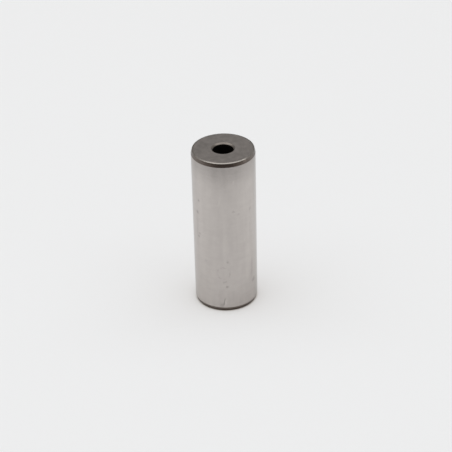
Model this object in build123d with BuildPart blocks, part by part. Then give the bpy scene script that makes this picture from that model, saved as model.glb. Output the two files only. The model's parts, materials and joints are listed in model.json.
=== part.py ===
from build123d import *
import os
from math import radians, tan

# A crank pin for a pressed-up crankshaft, turned, hardened and ground from one bar.
# It stands on its lower end with its axis along Z. All sizes are in millimetres.

# The ground cylinder: the connecting rod's bearing runs on its middle, and its two
# ends are pressed into the crank webs.
journal_diameter = 22.0
pin_length = 59.5

# The lead-in taper at each end, which starts the pin in the hole of its web
taper_length = 1.5
taper_angle = 15.0
shoulder_radius = 0.3
rim_radius = 0.3

# The bore from end to end, with a 45 degree countersink in each end face
bore_diameter = 7.0
mouth_chamfer = 0.5

journal_radius = journal_diameter / 2
end_radius = journal_radius - taper_length * tan(radians(taper_angle))
bore_radius = bore_diameter / 2

with BuildPart() as crank_pin:
    # Half of the outline, from the axis out to the ground surface
    with BuildSketch(Plane.XZ) as half_section:
        with BuildLine() as outline:
            Polyline(
                (0, 0),
                (end_radius, 0),
                (journal_radius, taper_length),
                (journal_radius, pin_length - taper_length),
                (end_radius, pin_length),
                (0, pin_length),
                close=True,
            )
        make_face()
    revolve(axis=Axis.Z)

    # The corner where the ground cylinder meets each taper is broken with a stone
    circles = crank_pin.edges().filter_by(GeomType.CIRCLE)
    fillet(circles.group_by(SortBy.RADIUS)[-1], shoulder_radius)

    # The corner of each end face is rounded off to a thin bright rim
    circles = crank_pin.edges().filter_by(GeomType.CIRCLE)
    lower_rim = circles.group_by(Axis.Z)[0]
    upper_rim = circles.group_by(Axis.Z)[-1]
    fillet(lower_rim + upper_rim, rim_radius)

    # The bore, and the countersink at each of its mouths
    Hole(bore_radius)
    mouths = crank_pin.edges(Select.LAST).filter_by(GeomType.CIRCLE)
    chamfer(mouths, mouth_chamfer)

crank_pin.part.label = "crank_pin"

os.makedirs("parts", exist_ok=True)
export_step(crank_pin.part, "parts/crank_pin.step")
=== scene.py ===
import bpy
import bmesh
import json
from math import atan, cos, pi, radians, sin, tan
from mathutils import Matrix, Vector


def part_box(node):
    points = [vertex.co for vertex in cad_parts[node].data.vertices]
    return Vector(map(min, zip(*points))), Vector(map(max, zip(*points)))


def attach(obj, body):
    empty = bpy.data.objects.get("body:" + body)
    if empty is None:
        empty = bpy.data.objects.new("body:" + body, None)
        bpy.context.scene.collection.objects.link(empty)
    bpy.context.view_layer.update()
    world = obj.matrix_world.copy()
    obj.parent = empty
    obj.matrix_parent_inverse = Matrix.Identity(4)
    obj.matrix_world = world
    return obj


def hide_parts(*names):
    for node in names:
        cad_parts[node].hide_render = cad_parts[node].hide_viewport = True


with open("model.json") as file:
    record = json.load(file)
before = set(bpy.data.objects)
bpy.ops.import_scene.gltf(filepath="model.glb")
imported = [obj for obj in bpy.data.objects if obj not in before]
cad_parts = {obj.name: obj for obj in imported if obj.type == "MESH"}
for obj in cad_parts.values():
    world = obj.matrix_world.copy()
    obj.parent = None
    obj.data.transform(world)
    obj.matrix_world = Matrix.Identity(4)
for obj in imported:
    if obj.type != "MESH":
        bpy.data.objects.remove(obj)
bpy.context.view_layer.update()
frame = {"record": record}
print("frame loaded")

# What the frame says about the pin, in metres
mounts = {mount["name"]: mount for mount in frame["record"]["mounts"]}
pinLow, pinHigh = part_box("crank_pin")
pinLength = pinHigh.z - pinLow.z
journalRadius = mounts["big_end_journal"]["dims"]["r_mm"] / 1000
boreRadius = mounts["through_bore"]["dims"]["r_mm"] / 1000
boreLength = mounts["through_bore"]["dims"]["length_mm"] / 1000


# A number or colour that varies over a surface, usable in an expression
class Varying:
    def __init__(self, shader, socket):
        self.shader = shader
        self.socket = socket

    def __add__(self, other):
        return self.shader.maths("ADD", self, other)

    def __radd__(self, other):
        return self.shader.maths("ADD", other, self)

    def __sub__(self, other):
        return self.shader.maths("SUBTRACT", self, other)

    def __rsub__(self, other):
        return self.shader.maths("SUBTRACT", other, self)

    def __mul__(self, other):
        return self.shader.maths("MULTIPLY", self, other)

    def __rmul__(self, other):
        return self.shader.maths("MULTIPLY", other, self)

    def __truediv__(self, other):
        return self.shader.maths("DIVIDE", self, other)

    def __rtruediv__(self, other):
        return self.shader.maths("DIVIDE", other, self)


class Shader:
    def __init__(self, name):
        self.material = bpy.data.materials.new(name)
        self.material.use_nodes = True
        self.tree = self.material.node_tree
        self.tree.nodes.clear()

    def node(self, kind, inputs=None, output="", **settings):
        made = self.tree.nodes.new(kind)
        for name, value in settings.items():
            setattr(made, name, value)
        for name, value in (inputs or {}).items():
            socket = next(s for s in made.inputs if s.enabled and name in (s.name, s.identifier))
            self.feed(socket, value)
        shown = [s for s in made.outputs if s.enabled and output in (s.name, "")]
        return Varying(self, shown[0]) if shown else None

    def feed(self, socket, value):
        if isinstance(value, Varying):
            self.tree.links.new(value.socket, socket)
        else:
            socket.default_value = value

    def maths(self, operation, *values):
        made = self.tree.nodes.new("ShaderNodeMath")
        made.operation = operation
        for socket, value in zip(made.inputs, values):
            self.feed(socket, value)
        return Varying(self, made.outputs[0])

    # 0 at low, 1 at high, smooth between
    def step(self, value, low, high):
        inputs = {"Value": value, "From Min": low, "From Max": high}
        return self.node("ShaderNodeMapRange", inputs, interpolation_type="SMOOTHSTEP")

    def mix(self, amount, first, second):
        return self.node("ShaderNodeMix", {"Factor": amount, "A": first, "B": second}, data_type="RGBA")

    def scaled(self, colour, amount):
        return self.node("ShaderNodeVectorMath", {"Vector": colour, "Scale": amount}, operation="SCALE")

    def vector(self, x, y, z):
        return self.node("ShaderNodeCombineXYZ", {"X": x, "Y": y, "Z": z})

    # From -0.5 to 0.5
    def noise(self, vector, scale, detail=2.0, roughness=0.5):
        inputs = {"Vector": vector, "Scale": scale, "Detail": detail, "Roughness": roughness}
        return self.node("ShaderNodeTexNoise", inputs) - 0.5

    def shows(self, surface):
        self.node("ShaderNodeOutputMaterial", {"Surface": surface})
        return self.material


# The outlines of the marks are uneven, and they fade to their edges
outline = {
    "waves": 1200,       # of the unevenness, in a metre
    "spotShift": 2,      # how far it moves an outline, as a share of the mark's size
    "ringShift": 0.5,
    "lineShift": 1,
    "spotCore": 0.3,     # how much of a spot, and of a line's width and length, is whole
    "lineCore": 0.1,
    "lineLength": 0.2,
}


# A finish that knows its place round and along the pin's axis
class Placed(Shader):
    def __init__(self, name):
        super().__init__(name)
        self.place = self.node("ShaderNodeTexCoord", output="Object")
        parts = [self.node("ShaderNodeSeparateXYZ", {"Vector": self.place}, output=axis) for axis in "XYZ"]
        self.x, self.y, self.z = parts
        self.radius = self.maths("SQRT", self.x * self.x + self.y * self.y)
        self.turn = self.maths("ARCTAN2", self.x, -1 * self.y)       # radians from the camera's side
        self.side = self.maths("ABSOLUTE", self.turn) * (180 / pi)   # degrees, alike either way round


# A metal with the marks of work and of handling
class Steel(Placed):
    def __init__(self, name):
        super().__init__(name)
        self.wander = self.noise(self.place, outline["waves"], detail=3)

    # Lines round the axis, as a tool or a wheel leaves them
    def lines(self, pitch, length, detail=2.0):
        across = (self.z + self.radius) / pitch
        return self.noise(self.vector(self.x / length, self.y / length, across), 1, detail)

    def patches(self, size):
        return self.noise(self.place, 1 / size, detail=5.0, roughness=0.6)

    # Marks, 1 where they are and 0 elsewhere. Their places are degrees round from the camera's
    # side and heights.
    def spot(self, degrees, height, size, radius=journalRadius):
        angle = radians(degrees)
        centre = (radius * sin(angle), -radius * cos(angle), height)
        inputs = {"Vector": self.place, "Vector_001": centre}
        away = self.node("ShaderNodeVectorMath", inputs, "Value", operation="DISTANCE")
        away = away * (1 + self.wander * outline["spotShift"])
        return 1 - self.step(away, size * outline["spotCore"], size)

    def ring(self, degrees, height, across, up, width):
        sideways = (self.turn - radians(degrees)) * (journalRadius / across)
        upward = (self.z - height) / up
        away = self.maths("SQRT", sideways * sideways + upward * upward) - 1
        away = self.maths("ABSOLUTE", away + self.wander * outline["ringShift"])
        return 1 - self.step(away * ((across + up) / 2), 0, width)

    def line(self, start, end, width):
        (fromDegrees, fromHeight), (toDegrees, toHeight) = start, end
        middle = radians(fromDegrees + toDegrees) / 2
        lean = radians(toDegrees - fromDegrees) * journalRadius / (toHeight - fromHeight)
        upward = self.z - (fromHeight + toHeight) / 2
        sideways = (self.turn - middle) * journalRadius - upward * lean
        sideways = sideways + self.wander * (width * outline["lineShift"])
        half = abs(toHeight - fromHeight) / 2
        wide = 1 - self.step(self.maths("ABSOLUTE", sideways), width * outline["lineCore"], width)
        return wide * (1 - self.step(self.maths("ABSOLUTE", upward), half * outline["lineLength"], half))

    def metal(self, colour, roughness, height, edge):
        inputs = {"Base Color": colour, "Metallic": 1.0, "Roughness": roughness}
        inputs["Normal"] = self.node("ShaderNodeBump", {"Height": height, "Distance": 1.0})
        inputs["Specular Tint"] = (edge, edge, edge, 1)
        return self.shows(self.node("ShaderNodeBsdfPrincipled", inputs))


# Turns a closed outline about Z. A corner is its radius and height, how far from it its
# rounding starts, and how many cuts the rounding has.
def turned(name, corners, steps, rowLength):
    mesh = bmesh.new()
    points = [mesh.verts.new((radius, 0, height)) for radius, height, rounding, cuts in corners]
    mesh.faces.new(points)
    for point, (radius, height, rounding, cuts) in zip(points, corners):
        bmesh.ops.bevel(mesh, geom=[point], offset=rounding, offset_type="OFFSET",
                        segments=cuts, profile=0.5, affect="VERTICES", material=-1)
    bmesh.ops.delete(mesh, geom=mesh.faces[:], context="FACES_ONLY")
    for edge in mesh.edges[:]:
        rows = int(edge.calc_length() / rowLength)
        if rows > 1:
            bmesh.ops.subdivide_edges(mesh, edges=[edge], cuts=rows - 1)
    bmesh.ops.spin(mesh, geom=mesh.verts[:] + mesh.edges[:], cent=(0, 0, 0), axis=(0, 0, 1),
                   angle=2 * pi, steps=steps, use_merge=True)
    bmesh.ops.remove_doubles(mesh, verts=mesh.verts, dist=1e-7)
    bmesh.ops.recalc_face_normals(mesh, faces=mesh.faces)
    return shown(name, mesh)


# Puts a finished mesh into the scene, shaded smooth
def shown(name, mesh):
    for face in mesh.faces:
        face.smooth = True
    data = bpy.data.meshes.new(name)
    mesh.to_mesh(data)
    mesh.free()
    piece = bpy.data.objects.new(name, data)
    bpy.context.scene.collection.objects.link(piece)
    return piece


# The pin, as a finer turned mesh in the place of the CAD solid. A break is how far from its
# corner a rounding starts, and cuts are how finely it is rounded.
pin = {
    "taperLength": 0.0015,
    "taperAngle": 15,
    "shoulderBreak": 0.00006,
    "shoulderCuts": 3,
    "rimWidth": 0.00044,
    "rimDrop": 0.00015,
    "rimBreak": 0.00004,
    "rimCuts": 6,
    "mouthBreak": 0.00012,
    "mouthCuts": 4,
    "steps": 256,          # round the axis
    "rowLength": 0.002,    # the longest face along the axis
    "sharpAngle": 60,
    "leanMargin": 2,       # a face that leans in more than this beyond the taper is the rim's
    "faceLean": 4,         # and one this near to level is the end face's
}
endRadius = journalRadius - pin["taperLength"] * tan(radians(pin["taperAngle"]))
mouth = (pinLength - boreLength) / 2


def makePin():
    rimRise = pin["rimDrop"] * tan(radians(pin["taperAngle"]))
    upper = [
        (journalRadius, pinLength - pin["taperLength"], pin["shoulderBreak"], pin["shoulderCuts"]),
        (endRadius + rimRise, pinLength - pin["rimDrop"], pin["rimBreak"], pin["rimCuts"]),
        (endRadius - pin["rimWidth"], pinLength, pin["rimBreak"], pin["rimCuts"]),
        (boreRadius + mouth, pinLength, pin["mouthBreak"], pin["mouthCuts"]),
        (boreRadius, pinLength - mouth, pin["mouthBreak"], pin["mouthCuts"]),
    ]
    lower = [(radius, pinLength - height, *rounding) for radius, height, *rounding in reversed(upper)]
    piece = turned("ground_pin", upper + lower, pin["steps"], pin["rowLength"])
    piece.data.set_sharp_from_angle(angle=radians(pin["sharpAngle"]))
    weighted = piece.modifiers.new("flat stays flat", "WEIGHTED_NORMAL")
    weighted.keep_sharp = True
    return piece


# Which finish a face of the pin has, by where it lies and how far it leans
def finishOf(face):
    fromEnd = min(face.center.z, pinLength - face.center.z)
    flatness = abs(face.normal.z)   # 1 on an end face, 0 on the ground side
    if face.center.xy.length < boreRadius + mouth + pin["mouthBreak"]:
        return "bore" if fromEnd > mouth else "mouth"
    if fromEnd > pin["taperLength"]:
        return "ground"
    if flatness < sin(radians(pin["taperAngle"] + pin["leanMargin"])):
        return "taper"
    return "rim" if flatness < cos(radians(pin["faceLean"])) else "face"


groundPin = makePin()
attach(groundPin, "root")
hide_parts("crank_pin")
print("pin turned:", len(groundPin.data.polygons), "faces")

# The finishes. Edge is the tint of the reflection where the surface turns away. Lines are the
# marks of the wheel or the tool: their pitch, their length, how strongly they show and how deep
# they are. Patches are the handling and staining: their size and how strongly they show.
# Dulling is how much both of them roughen.
steel = {
    "ground": {"colour": (0.563, 0.524, 0.498), "roughness": 0.16, "edge": 0.85,
               "pitch": 0.00030, "length": 0.012, "lines": 0.11, "depth": 5e-6,
               "patch": 0.0030, "patches": 0.12, "dulling": 0.11},
    "taper": {"colour": (0.155, 0.134, 0.120), "roughness": 0.20, "edge": 0.85,
              "pitch": 0.00022, "length": 0.007, "lines": 0.45, "depth": 5e-6,
              "patch": 0.0016, "patches": 0.40, "dulling": 0.20},
    "rim": {"colour": (0.330, 0.306, 0.284), "roughness": 0.20, "edge": 0.35,
            "pitch": 0.00015, "length": 0.004, "lines": 0.20, "depth": 2e-6,
            "patch": 0.0014, "patches": 0.55, "dulling": 0.25},
    "face": {"colour": (0.304, 0.277, 0.261), "roughness": 0.34, "edge": 0.85,
             "pitch": 0.00026, "length": 0.006, "lines": 0.38, "depth": 9e-6,
             "patch": 0.0018, "patches": 0.56, "dulling": 0.23},
    "mouth": {"colour": (0.195, 0.173, 0.156), "roughness": 0.28, "edge": 0.85,
              "pitch": 0.00016, "length": 0.004, "lines": 0.35, "depth": 4e-6,
              "patch": 0.0012, "patches": 0.40, "dulling": 0.20},
    "bore": {"colour": (0.020, 0.017, 0.015), "roughness": 0.60, "edge": 0.85,
             "pitch": 0.00035, "length": 0.005, "lines": 0.90, "depth": 2e-5,
             "patch": 0.0020, "patches": 0.80, "dulling": 0.25},
}
# Finer lines run between the lines, and larger patches lie under the patches: how many times
# finer and larger they are, and how strong they are beside the others. Line dulling is how much
# the lines roughen beside the patches.
layers = {"finer": 3, "fineTone": 0.5, "fineDepth": 0.3, "larger": 4, "largeTone": 0.6, "lineDulling": 0.5}
# A painted highlight, a glint on the upper rim and the top of its taper: degrees, height, size and radius,
# and how bright
rimGlint = (42, pinLength - 0.0002, 0.0010, endRadius)
glintTone = 0.45


def finishedSteel(name):
    finish = steel[name]
    shader = Steel(name + " steel")
    coarse = shader.lines(finish["pitch"], finish["length"], detail=3)
    fine = shader.lines(finish["pitch"] / layers["finer"], finish["length"] / layers["finer"])
    small = shader.patches(finish["patch"])
    large = shader.patches(finish["patch"] * layers["larger"])
    lined = (coarse + fine * layers["fineTone"]) * finish["lines"]
    patched = (small + large * layers["largeTone"]) * finish["patches"]
    tone = 1 + lined + patched
    roughness = finish["roughness"] + (coarse * layers["lineDulling"] + small) * finish["dulling"]
    height = (coarse + fine * layers["fineDepth"]) * finish["depth"]
    colour = finish["colour"]
    if name == "ground":
        tone, roughness, height = marksAndShade(shader, tone, roughness, height)
    # A painted highlight: the glint on the upper rim
    if name in ("rim", "taper"):
        tone = tone + shader.spot(*rimGlint) * glintTone
    # Painted shade on the tapers
    if name == "taper":
        colour, tone = shadedTaper(shader, colour, tone)
    return shader.metal(shader.scaled(colour, tone), roughness, height, finish["edge"])


# Marks on the ground side. A place is degrees round from the camera's side and a height, and
# tones are the share of the brightness that a mark takes or gives.
marks = {
    "pits": [              # each with its place, size and tone
        (16, 0.0406, 0.00065, 0.12), (25, 0.0392, 0.00060, 0.11), (3, 0.0204, 0.00070, 0.17),
        (1, 0.0102, 0.00060, 0.22), (-4, 0.0121, 0.00060, 0.13), (0, 0.0124, 0.00040, 0.15),
        (-39, 0.0199, 0.00045, 0.12), (-53, 0.0430, 0.00065, 0.22), (-57, 0.0382, 0.00080, 0.20),
        (-52, 0.0299, 0.00050, 0.36), (-55, 0.0285, 0.00055, 0.44), (52, 0.0396, 0.00070, 0.12),
        (60, 0.0097, 0.00120, 0.16),
    ],
    "pitDepth": 4e-5,
    "pitRoughness": 0.5,
    "smudge": (-4.5, 0.0158, 0.0022, 0.0024, 0.00035),   # place, half its width and height, its line's width
    "smudgeTone": 0.16,
    "smudgeRoughness": 0.08,
    "scratch": ((-2.3, 0.0060), (-6.2, 0.0018), 0.00030),   # from, to, width
    "scratchTone": 0.33,
    "scratchDepth": 8e-6,
    "stains": [            # as the scratch, with a tone: one beside it, and a faint one at either edge
        ((-8.0, 0.0039), (-9.6, 0.0007), 0.0011, 0.16),
        ((55.8, 0.0205), (53.6, 0.0095), 0.0009, 0.10),
        ((-57.3, 0.0410), (-60.0, 0.0240), 0.0009, 0.07),
    ],
    "polished": ((-1.4, 0.0052), (-2.8, 0.0017), 0.0007),   # along the scratch's other side
    "polishedTone": 0.10,
    "rubs": [              # light, and broken up as the smudge is
        ((-5.0, 0.0482), (-13.0, 0.0420), 0.0005, 0.12),
        ((16.6, 0.0530), (17.0, 0.0505), 0.0003, 0.20),
    ],
    "gaps": (0.0009, 0.12),    # in what is broken up: their size and how soft they are
}
# What runs all round the ground side
wear = {
    "streakWaves": (600, 50),  # they run along the axis: waves in a metre, across and up
    "streakTone": 0.15,
    "streakRoughness": 0.03,
    # Painted shade at the foot, standing in for the shade reflected from the floor near the pin: it reaches
    # higher at the sides and is stronger on the right
    "footShadeTop": 0.014,         # at the foot, how high it reaches
    "footShadeRise": 0.011,        # and how much higher at the sides
    "footShadeSides": (30, 65),   # degrees round at which it starts to rise and is highest
    "footShadeTones": (0.01, 0.13),   # at the left and at the right
    # Painted shade all round under the upper taper, standing in for a dim reflection of the dark
    # surroundings in front
    "topShadeHeights": (0.049, 0.0585),   # darker under the upper taper: starts, is whole
    "topShadeTone": 0.20,
}


# The marks and streaks of the ground side, with painted shade at the foot and under the upper taper
def marksAndShade(shader, tone, roughness, height):
    across, up = wear["streakWaves"]
    stretched = shader.vector(shader.x * across, shader.y * across, shader.z * up)
    streaks = shader.noise(stretched, 1, detail=3)
    # Painted shade at the foot, higher at the sides and stronger on the right
    left, right = wear["footShadeTones"]
    top = wear["footShadeTop"] + shader.step(shader.side, *wear["footShadeSides"]) * wear["footShadeRise"]
    footShade = 1 - shader.step(shader.z, pin["taperLength"], top)
    footShade = footShade * (left + shader.step(shader.x, -journalRadius, journalRadius) * (right - left))
    # Painted shade under the upper taper
    topShade = shader.step(shader.z, *wear["topShadeHeights"])

    gap, soft = marks["gaps"]
    broken = shader.step(shader.patches(gap), -soft, soft)
    pitted = sum(shader.spot(*place) * much for *place, much in marks["pits"])
    smudge = shader.ring(*marks["smudge"]) * broken
    scratch = shader.line(*marks["scratch"])
    stained = sum(shader.line(*stain) * much for *stain, much in marks["stains"])
    rubbed = sum(shader.line(*rub) * much for *rub, much in marks["rubs"]) * broken
    polished = shader.line(*marks["polished"])

    # The shade at the foot and under the upper taper is painted shade; the pits, stains, smudge and scratch
    # are marks
    dark = footShade + topShade * wear["topShadeTone"] + pitted + stained
    dark = dark + smudge * marks["smudgeTone"] + scratch * marks["scratchTone"]
    light = polished * marks["polishedTone"] + rubbed
    tone = tone + streaks * wear["streakTone"] - dark + light
    roughness = roughness + streaks * wear["streakRoughness"]
    roughness = roughness + pitted * marks["pitRoughness"] + smudge * marks["smudgeRoughness"]
    height = height - pitted * marks["pitDepth"] - scratch * marks["scratchDepth"]
    return tone, roughness, height


# The tapers have a dark brownish steel colour of their own, and painted shade lies on it. On the upper taper
# it is a painted reflection, darkest on the camera's side. On the lower one it is painted shade, darkest at
# the floor. The painted shade turns toward a brownish tint.
taperShade = {
    "colour": (0.172, 0.131, 0.108, 1),
    "tint": 1.3,                     # how soon the colour goes over to it
    "unshadedTone": 1.13,                # the tone where there is no painted shade
    "upper": 0.75,                   # how much painted shade the upper taper takes on the camera's side
    "upperSides": (5, 62),           # degrees round at which it starts to fade and is gone
    "lower": 0.58,                   # how much painted shade the lower taper takes at the floor
    "lowerHeights": (0.0004, 0.0011),   # at which it starts to fade and is gone
    "between": (0.4, 0.6),           # shares of the length: the one's painted shade gives way to the other's
}


# Paints shade onto the tapers: a painted reflection on the upper one's camera side, and painted shade at the
# lower one's foot
def shadedTaper(shader, colour, tone):
    front = 1 - shader.step(shader.side, *taperShade["upperSides"])
    upper = shader.step(shader.z / pinLength, *taperShade["between"])   # 1 at the upper taper
    foot = (1 - shader.step(shader.z, *taperShade["lowerHeights"])) * taperShade["lower"]
    amount = foot + upper * (front * taperShade["upper"] - foot)
    colour = shader.mix(amount * taperShade["tint"], (*colour, 1), taperShade["colour"])
    return colour, tone * ((1 - amount) * taperShade["unshadedTone"])


for finish in steel:
    groundPin.data.materials.append(finishedSteel(finish))
order = list(steel)
for face in groundPin.data.polygons:
    face.material_index = order.index(finishOf(face))
print("steel finished")

# The studio: a pale floor that curves up into a low wall, and a wide soft light overhead
studio = {
    "floorRadius": 1.5,
    "floorSteps": 128,
    "wallHeight": 0.22,
    "coveRadius": 0.15,
    "coveCuts": 12,
    "floorColour": (0.553, 0.597, 0.640, 1),
    "floorRoughness": 0.8,
    "floorGloss": 0.2,
    "floorGlow": (0.300, 0.262, 0.228),
    "footColour": (0.64, 0.60, 0.55, 1),         # where the pin stands
    "glowStart": (0.0104, 0.0113),               # from the pin's axis: none, whole
    "room": (0.48, 0.477, 0.469, 1),
    "lightHeight": 2.0,
    "lightFront": 34,                            # how far from straight up the light reaches, in degrees
    "lightBack": 32,
    "lightSide": 50,
    "lightShift": -0.25,                         # sideways, in metres
    "lightRadiance": 1.10,
    "clothColour": (0.05, 0.045, 0.04, 1),
    "clothRoughness": 0.9,
    "clothHeight": 0.001,
    "clothSteps": 96,
    "clothReach": (0.087, 0.107, 0.120, 0.150),  # from the pin's axis: thickens, is thick, fades, ends
    "clothDepth": (0.12, 0.30),                  # the light it takes near the pin, and further out
    "clothSpread": 124,                          # how far round it fades to nothing, in degrees
}


# Part of the floor's paleness is a glow that only the camera and reflections see. It ends
# where the pin stands.
def floorMaterial():
    shader = Placed("pale floor")
    rays = [shader.node("ShaderNodeLightPath", output="Is %s Ray" % kind) for kind in ("Camera", "Glossy")]
    clear = shader.step(shader.radius, *studio["glowStart"])
    glow = shader.scaled(studio["floorGlow"], (rays[0] + rays[1]) * clear)
    inputs = {"Base Color": shader.mix(clear, studio["footColour"], studio["floorColour"])}
    inputs.update({"Roughness": studio["floorRoughness"], "Specular IOR Level": studio["floorGloss"]})
    inputs.update({"Emission Color": glow, "Emission Strength": 1.0})
    return shader.shows(shader.node("ShaderNodeBsdfPrincipled", inputs))


def makeFloor():
    mesh = bmesh.new()
    bmesh.ops.create_circle(mesh, cap_ends=True, radius=studio["floorRadius"], segments=studio["floorSteps"])
    rim = bmesh.ops.extrude_edge_only(mesh, edges=mesh.edges[:])["geom"]
    rise = [part for part in rim if isinstance(part, bmesh.types.BMVert)]
    bmesh.ops.translate(mesh, verts=rise, vec=(0, 0, studio["wallHeight"]))
    corner = [edge for edge in mesh.edges if all(vert.co.z == 0 for vert in edge.verts)]
    bmesh.ops.bevel(mesh, geom=corner, offset=studio["coveRadius"], offset_type="OFFSET",
                    segments=studio["coveCuts"], profile=0.5, affect="EDGES", material=-1)
    floor = shown("floor", mesh)
    floor.data.materials.append(floorMaterial())


# Thin near the pin, thicker further out, and faded at its edges
def clothMaterial():
    shader = Placed("dim cloth")
    start, whole, fade, end = studio["clothReach"]
    near, thick = studio["clothDepth"]
    ahead = 1 - shader.step(shader.side, 0, studio["clothSpread"])
    depth = near + shader.step(shader.radius, start, whole) * (thick - near)
    alpha = ahead * depth * (1 - shader.step(shader.radius, fade, end))
    inputs = {"Base Color": studio["clothColour"], "Roughness": studio["clothRoughness"], "Alpha": alpha}
    return shader.shows(shader.node("ShaderNodeBsdfPrincipled", inputs))


# A dim cloth on the floor in front of the pin, which only reflections see
def makeCloth():
    mesh = bmesh.new()
    reach = studio["clothReach"][-1]
    bmesh.ops.create_circle(mesh, cap_ends=True, radius=reach, segments=studio["clothSteps"])
    cloth = shown("cloth", mesh)
    cloth.data.materials.append(clothMaterial())
    cloth.location.z = studio["clothHeight"]
    cloth.visible_camera = False
    cloth.visible_diffuse = False
    cloth.visible_shadow = False


def makeLight():
    height = studio["lightHeight"]
    reaches = [studio["lightFront"], studio["lightBack"], studio["lightSide"]]
    front, back, side = (height * tan(radians(reach)) for reach in reaches)
    lamp = bpy.data.lights.new("soft light", "AREA")
    lamp.shape = "RECTANGLE"
    lamp.size = 2 * side
    lamp.size_y = front + back
    lamp.energy = studio["lightRadiance"] * pi * lamp.size * lamp.size_y
    light = bpy.data.objects.new("soft light", lamp)
    light.location = (studio["lightShift"], (back - front) / 2, height)
    bpy.context.scene.collection.objects.link(light)


def makeRoom():
    world = bpy.data.worlds.new("room")
    world.use_nodes = True
    world.node_tree.nodes["Background"].inputs["Color"].default_value = studio["room"]
    bpy.context.scene.world = world


makeFloor()
makeCloth()
makeLight()
makeRoom()
print("studio lit")

camera = {
    "elevation": 31.83,
    "distance": 0.5678,
    "lens": 129.88,
    "sensor": 36,
    "roll": -1.45,
    "clip": (0.01, 20),            # the nearest and furthest that it sees
    "imageSize": 452,
    "aimPixel": (224.90, 222.78),  # where the middle of the pin's axis shows
}


def makeCamera():
    data = bpy.data.cameras.new("camera")
    data.sensor_width = camera["sensor"]
    data.lens = camera["lens"]
    data.clip_start, data.clip_end = camera["clip"]
    eye = bpy.data.objects.new("camera", data)
    bpy.context.scene.collection.objects.link(eye)
    tilt = radians(camera["elevation"])
    back = Vector((0, -cos(tilt), sin(tilt)))
    middle = Vector((0, 0, pinLength / 2))
    focal = camera["lens"] / camera["sensor"] * camera["imageSize"]   # in pixels
    half = camera["imageSize"] / 2
    pan = atan((camera["aimPixel"][0] - half) / focal)
    nod = atan((camera["aimPixel"][1] - half) / focal)
    level = back.to_track_quat("Z", "Y").to_matrix()
    turn = Matrix.Rotation(radians(camera["roll"]), 3, "Z")
    turn = turn @ Matrix.Rotation(pan, 3, "Y") @ Matrix.Rotation(nod, 3, "X")
    eye.matrix_world = Matrix.Translation(middle + back * camera["distance"]) @ (level @ turn).to_4x4()
    bpy.context.scene.camera = eye


makeCamera()
bpy.context.scene.view_settings.view_transform = "Standard"
print("camera placed")
